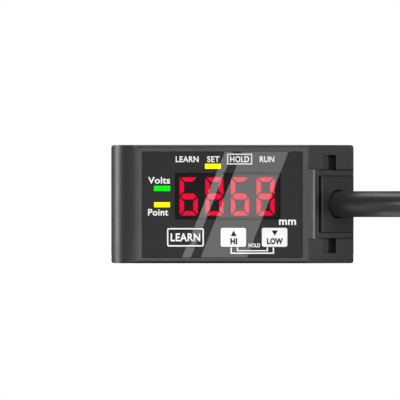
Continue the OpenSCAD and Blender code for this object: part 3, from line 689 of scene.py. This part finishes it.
lampGlow = {"yellowLamp": (1.0, 1.0, 0.0), "greenLamp": (0.0, 1.0, 0.004)}
lampSpec = {
    "bodyShare": 0.5, "rough": 0.35, "bodyScale": 500, "bodySpread": 0.05,
    "glowScale": 700, "glowSpread": 0.1,
    "plain": {
        "Emission Strength": 1.0, "Specular IOR Level": 0.0, "Coat Weight": 0.5,
        "Coat Roughness": clearCoatRough,
    },
}


def newLamp(name, glow):
    spec = lampSpec
    body = tuple(spec["bodyShare"] * c for c in glow)
    lamp = newFinish(
        name, body, spec["rough"], toneScale=spec["bodyScale"], toneSpread=spec["bodySpread"],
        plain=spec["plain"])
    tree = lamp.node_tree
    drift = useGroup(tree, toneGroup, Tone=(*glow, 1), Scale=spec["glowScale"], Spread=spec["glowSpread"])
    tree.links.new(drift.outputs["Tone"], tree.nodes["Principled BSDF"].inputs["Emission Color"])
    return lamp


for name, glow in lampGlow.items():
    made[name] = newLamp(name, glow)

# digits: four of seven bars each, a six and an eight in turn

digitSpec = {
    "count": 4, "wide": 3.01, "slack": 0.4,
    # the dark bars glow faintly grey: painted light, like the display face round them
    "glow": (1.0, 0.0, 0.045), "glowScale": 600, "glowSpread": 0.12, "strength": 3.5, "paintedFill": 0.012,
    "lit": (0.06, 0.002, 0.006), "unlit": (0.012, 0.012, 0.012), "rough": 0.6,
}


def newDigits():
    # every other digit shows a six: its upper right bar is dark, found by its slanted ends
    spec = digitSpec
    low, high = (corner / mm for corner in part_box("digit_segments"))
    tall = high.z - low.z
    pitch = (high.x - low.x - spec["wide"]) / (spec["count"] - 1)
    finish, tree, face = newMaterial("digitBars")
    place = splitPlace(tree)
    x = calc(tree, "SUBTRACT", place["X"], low.x * mm)
    x = calc(tree, "FLOORED_MODULO", x, 2 * pitch * mm)
    z = calc(tree, "SUBTRACT", place["Z"], low.z * mm)
    underTop = calc(tree, "GREATER_THAN", calc(tree, "SUBTRACT", x, z), (spec["wide"] - tall) * mm)
    overMiddle = calc(tree, "GREATER_THAN", calc(tree, "ADD", x, z), (spec["wide"] + tall / 2) * mm)
    inDigit = calc(tree, "LESS_THAN", x, (spec["wide"] + spec["slack"]) * mm)
    lit = calc(tree, "SUBTRACT", 1.0, allOf(tree, [underTop, overMiddle, inDigit]))
    drift = useGroup(
        tree, toneGroup, Tone=(*spec["glow"], 1), Scale=spec["glowScale"], Spread=spec["glowSpread"])
    # painted light on the dark bars, standing in for light through the window
    paintedFill = (spec["paintedFill"], spec["paintedFill"], spec["paintedFill"], 1)
    tree.links.new(mixed(tree, lit, paintedFill, drift.outputs["Tone"]), face.inputs["Emission Color"])
    tree.links.new(mixed(tree, lit, (*spec["unlit"], 1), (*spec["lit"], 1)), face.inputs["Base Color"])
    face.inputs["Emission Strength"].default_value = spec["strength"]
    face.inputs["Roughness"].default_value = spec["rough"]
    return finish


made["digitBars"] = newDigits()

# cores of the cable: five side by side that spread towards their ends, each with its own colour

coreSpec = {
    "tailX": 112.1, "tailY": -8.6, "reach": 21.5, "fan": 1.72, "band": 3.4,
    # where each colour starts across the band, and the colour
    "colours": [
        (0.0, (0.13, 0.05, 0.02)), (0.206, (0.03, 0.09, 0.35)), (0.397, (0.012, 0.012, 0.012)),
        (0.603, (0.3, 0.3, 0.3)), (0.794, (0.7, 0.22, 0.3)),
    ],
}


def newCores():
    spec = coreSpec
    finish = newFinish("coreColours", tone=(0.2, 0.2, 0.2), rough=0.42, grain=(3000, 0.01, 0.3))
    tree = finish.node_tree
    place = splitPlace(tree)
    fromTail = calc(tree, "SUBTRACT", place["X"], spec["tailX"] * mm)
    along = calc(tree, "DIVIDE", fromTail, spec["reach"] * mm)
    widen = calc(tree, "ADD", calc(tree, "MULTIPLY", along, spec["fan"]), 1.0)
    across = calc(tree, "DIVIDE", calc(tree, "SUBTRACT", place["Y"], spec["tailY"] * mm), widen)
    level = calc(tree, "ADD", calc(tree, "MULTIPLY", across, 1 / (spec["band"] * mm)), 0.5)
    bands = tree.nodes.new("ShaderNodeValToRGB")
    stops = bands.color_ramp.elements
    bands.color_ramp.interpolation = "CONSTANT"
    while len(stops) < len(spec["colours"]):
        stops.new(0.5)
    for stop, (start, tone) in zip(stops, spec["colours"]):
        stop.position = start
        stop.color = (*tone, 1)
    tree.links.new(level, bands.inputs["Fac"])
    drift = [n for n in tree.nodes if n.type == "GROUP" and n.node_tree == toneGroup][0]
    tree.links.new(bands.outputs["Color"], drift.inputs["Tone"])
    return finish


made["coreColours"] = newCores()
print("glass, lamps and cores mixed")

# finish: the nodes that wear it

dressing = {
    "castPaint": ["case"],
    "laserWindow": ["front_cover"],
    "sealRubber": ["front_gasket"],
    "overlayFilm": ["panel"],
    "smokedWindow": ["display_window"],
    "displayBlack": ["digit_display"],
    "digitBars": ["digit_segments"],
    "yellowLamp": ["out_lamp", "laser_lamp"],
    "greenLamp": ["power_lamp"],
    "ledChip": ["lamp_leds"],
    "darkKeyFilm": ["learn_key"],
    "whiteKeyFilm": ["up_key", "down_key"],
    "plungerBlack": ["learn_plunger", "up_plunger", "down_plunger"],
    "switchMetal": ["key_switches"],
    "circuitBoard": ["display_board", "main_board", "sensor_board"],
    "chipBlack": ["board_chips", "image_sensor"],
    "headerPlastic": ["board_header"],
    "brass": ["board_spacers", "laser_sleeve", "laser_diode"],
    "steel": ["board_screws"],
    "opticsMetal": ["optical_base"],
    "lensGlass": ["collimator_lens", "receiver_lens"],
    "ringBlack": ["lens_ring"],
    "capPlastic": ["end_cap"],
    "grommetPlastic": ["cable_grommet"],
    "clampMetal": ["cable_clamp"],
    "coreColours": ["inner_cores", "lead_cores"],
    "copper": ["core_tips"],
    "tieNylon": ["hank_tie"],
    "cableJacket": ["cable", "cable_hank", "cable_tail"],
}


def dressNodes():
    for finish, wearers in dressing.items():
        for name in wearers:
            for place in nodes[name].material_slots:
                place.material = made[finish]
    cable.data.materials.append(made["cableJacket"])


dressNodes()
print("nodes dressed")

# print on the panel and the keys: generic function words, thin ink solids

ink = {
    "depth": 0.016,
    "light": 0.025, "dark": 0.05,  # how much heavier light and dark letters are made
    "spacing": 1.06, "extrude": 0.01, "weld": 1e-5,
    "capUnits": 0.729,  # cap height of the built-in letters at size one
}
panelWords = {
    # name: word, left, right, foot, cap height
    "wordLearn": ("LEARN", -9.61, -5.72, 17.12, 1.0),
    "wordSet": ("SET", -4.30, -2.18, 17.12, 1.0),
    "wordHold": ("HOLD", -0.40, 2.80, 17.12, 1.0),
    "wordRun": ("RUN", 4.58, 7.04, 17.12, 1.0),
    "wordVolts": ("Volts", -14.27, -10.55, 13.50, 1.12),
    "wordPoint": ("Point", -14.27, -10.85, 8.11, 1.12),
    "wordUnit": ("mm", 7.85, 10.73, 6.54, 1.3),
    "wordHoldSmall": ("HOLD", 2.72, 4.65, 2.74, 0.66),
}
panelLines = {
    # name: bars, each between its lower left and its upper right corner
    "wordBox": [
        ((-0.92, 16.70), (-0.74, 18.51)), ((3.13, 16.70), (3.31, 18.51)),
        ((-0.74, 18.33), (3.13, 18.51)), ((-0.74, 16.70), (3.13, 16.88)),
    ],
    "keyLink": [
        ((-0.34, 1.61), (-0.12, 2.70)), ((-0.12, 1.61), (6.78, 1.83)), ((6.78, 1.61), (7.01, 2.70)),
        ((0.73, 2.05), (0.95, 2.70)), ((0.95, 2.05), (5.76, 2.23)), ((5.76, 2.05), (5.99, 2.70)),
    ],
}
keyWords = {
    # name: key, shade of the letters, word, left, right, foot, cap height
    "keyLearn": ("learn", "light", "LEARN", -10.45, -5.45, 3.76, 1.35),
    "keyUp": ("up", "dark", "HI", -0.36, 0.79, 3.27, 0.98),
    "keyDown": ("down", "dark", "LOW", 5.80, 8.50, 3.29, 0.96),
}
keyMarks = {
    # name: key and the corners of its arrow
    "keyUpMark": ("up", [(-0.33, 4.59), (0.72, 4.59), (0.19, 5.53)]),
    "keyDownMark": ("down", [(6.61, 5.56), (7.14, 4.64), (7.66, 5.56)]),
}
keyLine = {"wide": 6.22, "high": 3.12, "thick": 0.23, "outerCorner": 0.32, "innerCorner": 0.12, "segments": 4}
inkFinish = {"light": "printInk", "dark": "keyInk"}


def wordMesh(shade, word, left, right, foot, cap):
    letters = bpy.data.curves.new("word", "FONT")
    letters.body = word
    letters.offset = ink[shade]
    letters.space_character = ink["spacing"]
    letters.extrude = ink["extrude"]
    holder = bpy.data.objects.new("word", letters)
    scene.collection.objects.link(holder)
    flat = holder.evaluated_get(bpy.context.evaluated_depsgraph_get())
    shape = bmesh.new()
    shape.from_mesh(bpy.data.meshes.new_from_object(flat))
    bpy.data.objects.remove(holder)
    bmesh.ops.remove_doubles(shape, verts=shape.verts, dist=ink["weld"])
    # stood up, stretched to its place on the panel and made as thick as the ink
    xs = [v.co.x for v in shape.verts]
    stretch = (right - left) / (max(xs) - min(xs))
    upright = Matrix.Rotation(math.pi / 2, 4, "X")
    size = Matrix.Diagonal((stretch, ink["depth"] / (2 * ink["extrude"]), cap / ink["capUnits"], 1))
    place = Matrix.Translation((left - min(xs) * stretch, panelY - ink["depth"] / 2, foot))
    bmesh.ops.transform(shape, matrix=Matrix.Scale(mm, 4) @ place @ size @ upright, verts=shape.verts)
    return shape


def addBar(shape, low, high):
    # flat ink bar between two corners
    bar = bmesh.ops.create_cube(shape, size=1)["verts"]
    size = Vector((high[0] - low[0], ink["depth"], high[1] - low[1]))
    middle = Vector(((low[0] + high[0]) / 2, panelY - ink["depth"] / 2, (low[1] + high[1]) / 2))
    bmesh.ops.scale(shape, vec=size * mm, verts=bar)
    bmesh.ops.translate(shape, vec=middle * mm, verts=bar)


def thicken(shape):
    # flat faces on the panel become ink solids
    grown = bmesh.ops.extrude_face_region(shape, geom=shape.faces[:])["geom"]
    raised = [g for g in grown if isinstance(g, bmesh.types.BMVert)]
    bmesh.ops.translate(shape, vec=(0, -ink["depth"] * mm, 0), verts=raised)


def arrowMesh(corners):
    shape = bmesh.new()
    shape.faces.new([shape.verts.new(Vector((x, panelY, z)) * mm) for x, z in corners])
    thicken(shape)
    return shape


def addRoundRing(shape, wide, high, corner):
    # closed ring of edges with round corners, round the middle of the dark key
    x, z = keyMiddles["learn"]
    turned = Matrix.Translation(Vector((x, panelY, z)) * mm) @ Matrix.Rotation(math.pi / 2, 4, "X")
    size = Matrix.Diagonal((wide * mm, high * mm, 1, 1))
    plate = bmesh.ops.create_grid(shape, x_segments=1, y_segments=1, size=0.5, matrix=turned @ size)
    rounded = bmesh.ops.bevel(
        shape, geom=plate["verts"], offset=corner * mm, affect="VERTICES", offset_type="OFFSET",
        segments=keyLine["segments"], profile=0.5, material=-1)
    face = rounded["verts"][0].link_faces[0]
    edges = list(face.edges)
    bmesh.ops.delete(shape, geom=[face], context="FACES_ONLY")
    return edges


def keyLineMesh():
    # closed line along the edge of the dark key
    shape = bmesh.new()
    inset = 2 * keyLine["thick"]
    outer = addRoundRing(shape, keyLine["wide"], keyLine["high"], keyLine["outerCorner"])
    inner = addRoundRing(shape, keyLine["wide"] - inset, keyLine["high"] - inset, keyLine["innerCorner"])
    bmesh.ops.bridge_loops(shape, edges=outer + inner)
    thicken(shape)
    return shape


def drape(shape, middle):
    # the ink follows the dome of its key
    for _ in range(dome["passes"]):
        long = [e for e in shape.edges if e.calc_length() > dome["edge"] * mm]
        if not long:
            break
        bmesh.ops.subdivide_edges(shape, edges=long, cuts=1)
        bmesh.ops.triangulate(shape, faces=shape.faces)
    ball = (dome["wide"] ** 2 / 4 + dome["high"] ** 2) / (2 * dome["high"])
    for v in shape.verts:
        away = math.hypot(v.co.x / mm - middle[0], v.co.z / mm - middle[1])
        if away < dome["wide"] / 2:
            v.co.y -= (math.sqrt(ball ** 2 - away ** 2) - ball + dome["high"]) * mm


def layInk(name, shape, body, shade):
    bmesh.ops.recalc_face_normals(shape, faces=shape.faces)
    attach(newObject(name, shape, made[inkFinish[shade]]), body)


def printPanel():
    for name, settings in panelWords.items():
        layInk(name, wordMesh("light", *settings), "body", "light")
    for name, bars in panelLines.items():
        lines = bmesh.new()
        for low, high in bars:
            addBar(lines, low, high)
        layInk(name, lines, "body", "light")


def printKeys():
    for name, (key, shade, *settings) in keyWords.items():
        shape = wordMesh(shade, *settings)
        drape(shape, keyMiddles[key])
        layInk(name, shape, key, shade)
    for name, (key, corners) in keyMarks.items():
        shape = arrowMesh(corners)
        drape(shape, keyMiddles[key])
        layInk(name, shape, key, "dark")
    layInk("keyLearnLine", keyLineMesh(), "learn", "light")


printPanel()
printKeys()
print("panel and keys printed")
